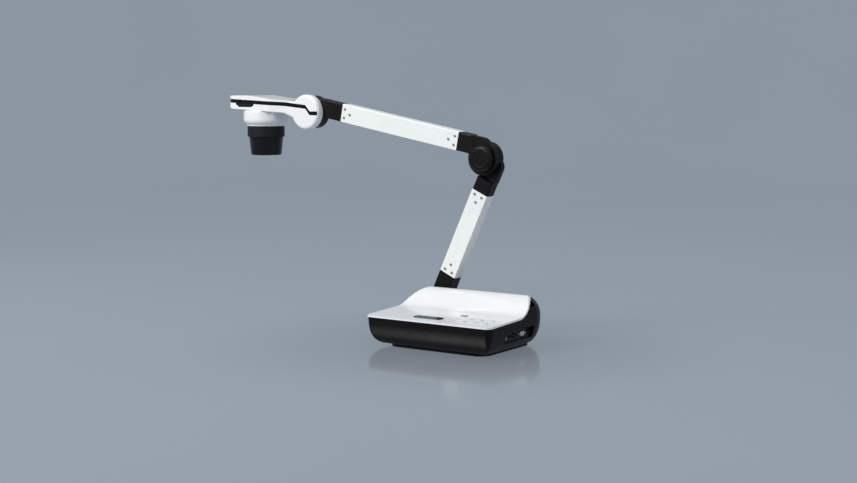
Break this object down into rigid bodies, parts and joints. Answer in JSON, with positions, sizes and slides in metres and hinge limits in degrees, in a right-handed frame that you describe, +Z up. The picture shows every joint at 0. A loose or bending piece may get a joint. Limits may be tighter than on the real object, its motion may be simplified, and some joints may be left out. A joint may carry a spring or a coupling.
{
  "type": "low vision magnifier",
  "caption": "Desktop video magnifier: a downward camera head on a two-stage folding arm with friction hinges, over a weighted base with a scooped white key panel.",
  "frame": {"origin": "middle of the base's underside, on the desk", "axes": "+X to the user's right along the base's front edge, the arm's plane is parallel to it; -Y towards the user; +Z up"},
  "size_m": [0.8333, 0.2776, 0.5151],
  "materials": {
    "black_housing": "fine matt texture",
    "white_gloss": "polished",
    "sleeve_black": "satin",
    "tube_white": "satin white over aluminium",
    "rubber": "matt",
    "steel": "brushed",
    "bracket_paint": "satin",
    "ballast": "raw",
    "circuit_board": "solder mask",
    "brass": "plain",
    "connector_metal": "plated",
    "port_black": "matt",
    "smoked_window": "polished, smoked",
    "key_grey": "satin",
    "key_dark": "satin",
    "wire_jacket": "smooth",
    "gloss_black": "polished",
    "ring_black": "satin",
    "lens_glass": "coated"
  },
  "bodies": {
    "base": {"base_tray": "black_housing", "base_plate": "black_housing", "rubber_feet": "rubber", "base_screws": "steel", "ballast_plate": "ballast", "main_board": "circuit_board", "board_standoffs": "brass", "port_panel": "port_black", "audio_jack": "connector_metal", "usb_socket": "port_black", "hdmi_socket": "port_black", "vga_connector": "connector_metal", "dc_inlet": "port_black", "rear_housing": "black_housing", "top_cover": "white_gloss", "post_screws": "steel", "status_window": "smoked_window", "switch_board": "circuit_board", "arm_bracket": "bracket_paint", "bracket_bolts": "steel", "foot_pin": "steel", "foot_washers": "steel"},
    "lower_arm": {"foot_sleeve": "sleeve_black", "lower_tube": "tube_white", "lower_tube_screws": "steel", "lower_wires": "wire_jacket", "lower_knee_sleeve": "sleeve_black", "knee_pin": "steel", "knee_washer": "steel"},
    "knob": {"knee_knob": "sleeve_black"},
    "upper_arm": {"upper_knee_sleeve": "sleeve_black", "upper_tube": "tube_white", "upper_tube_screws": "steel", "upper_wires": "wire_jacket", "head_sleeve": "sleeve_black", "head_pin": "steel", "head_washer": "steel"},
    "head": {"head_top_shell": "white_gloss", "head_band": "gloss_black", "head_bottom_shell": "white_gloss", "side_windows": "smoked_window", "lamp_window": "smoked_window", "led_board": "circuit_board", "lens_hub": "white_gloss", "lens_hood": "gloss_black", "lens_cell": "ring_black", "front_glass": "lens_glass", "lens_elements": "lens_glass", "sensor_board": "circuit_board", "head_screws": "steel"},
    "zoom_ring": {"zoom_ring": "ring_black"},
    "power": {"power_button": "key_dark"},
    "key_1": {"key_1": "key_grey"},
    "key_2": {"key_2": "key_grey"},
    "key_3": {"key_3": "key_grey"},
    "key_4": {"key_4": "key_grey"},
    "key_5": {"key_5": "key_grey"},
    "key_6": {"key_6": "key_grey"}
  },
  "joints": [
    {"name": "base_tilt", "type": "hinge", "parent": "base", "child": "lower_arm", "pos_m": [-0.098, 0.099, 0.076], "axis": [0, 1, 0], "range_deg": [-30, 54]},
    {"name": "knee_tilt", "type": "hinge", "parent": "lower_arm", "child": "upper_arm", "pos_m": [0.00025, 0.099, 0.38337], "axis": [0, 1, 0], "range_deg": [-40, 100]},
    {"name": "knob_turn", "type": "hinge", "parent": "lower_arm", "child": "knob", "pos_m": [0.00025, 0.099, 0.38337], "axis": [0, 1, 0], "range_deg": [-180, 180]},
    {"name": "head_tilt", "type": "hinge", "parent": "upper_arm", "child": "head", "pos_m": [-0.46271, 0.099, 0.47563], "axis": [0, 1, 0], "range_deg": [-60, 90]},
    {"name": "zoom_turn", "type": "hinge", "parent": "head", "child": "zoom_ring", "pos_m": [-0.60271, 0.099, 0.47563], "axis": [0, 0, 1], "range_deg": [-60, 60]},
    {"name": "key_1_press", "type": "slide", "parent": "base", "child": "key_1", "axis": [0, -0.035, 0.9994], "range_m": [-0.001, 0], "stiffness_N_per_m": 300, "springref_m": 0.001},
    {"name": "key_2_press", "type": "slide", "parent": "base", "child": "key_2", "axis": [0, -0.035, 0.9994], "range_m": [-0.001, 0], "stiffness_N_per_m": 300, "springref_m": 0.001},
    {"name": "key_3_press", "type": "slide", "parent": "base", "child": "key_3", "axis": [0, -0.035, 0.9994], "range_m": [-0.001, 0], "stiffness_N_per_m": 300, "springref_m": 0.001},
    {"name": "key_4_press", "type": "slide", "parent": "base", "child": "key_4", "axis": [0, -0.035, 0.9994], "range_m": [-0.001, 0], "stiffness_N_per_m": 300, "springref_m": 0.001},
    {"name": "key_5_press", "type": "slide", "parent": "base", "child": "key_5", "axis": [0, -0.035, 0.9994], "range_m": [-0.001, 0], "stiffness_N_per_m": 300, "springref_m": 0.001},
    {"name": "key_6_press", "type": "slide", "parent": "base", "child": "key_6", "axis": [0, -0.035, 0.9994], "range_m": [-0.001, 0], "stiffness_N_per_m": 300, "springref_m": 0.001},
    {"name": "power_press", "type": "slide", "parent": "base", "child": "power", "axis": [0, -0.035, 0.9994], "range_m": [-0.001, 0], "stiffness_N_per_m": 300, "springref_m": 0.001}
  ]
}
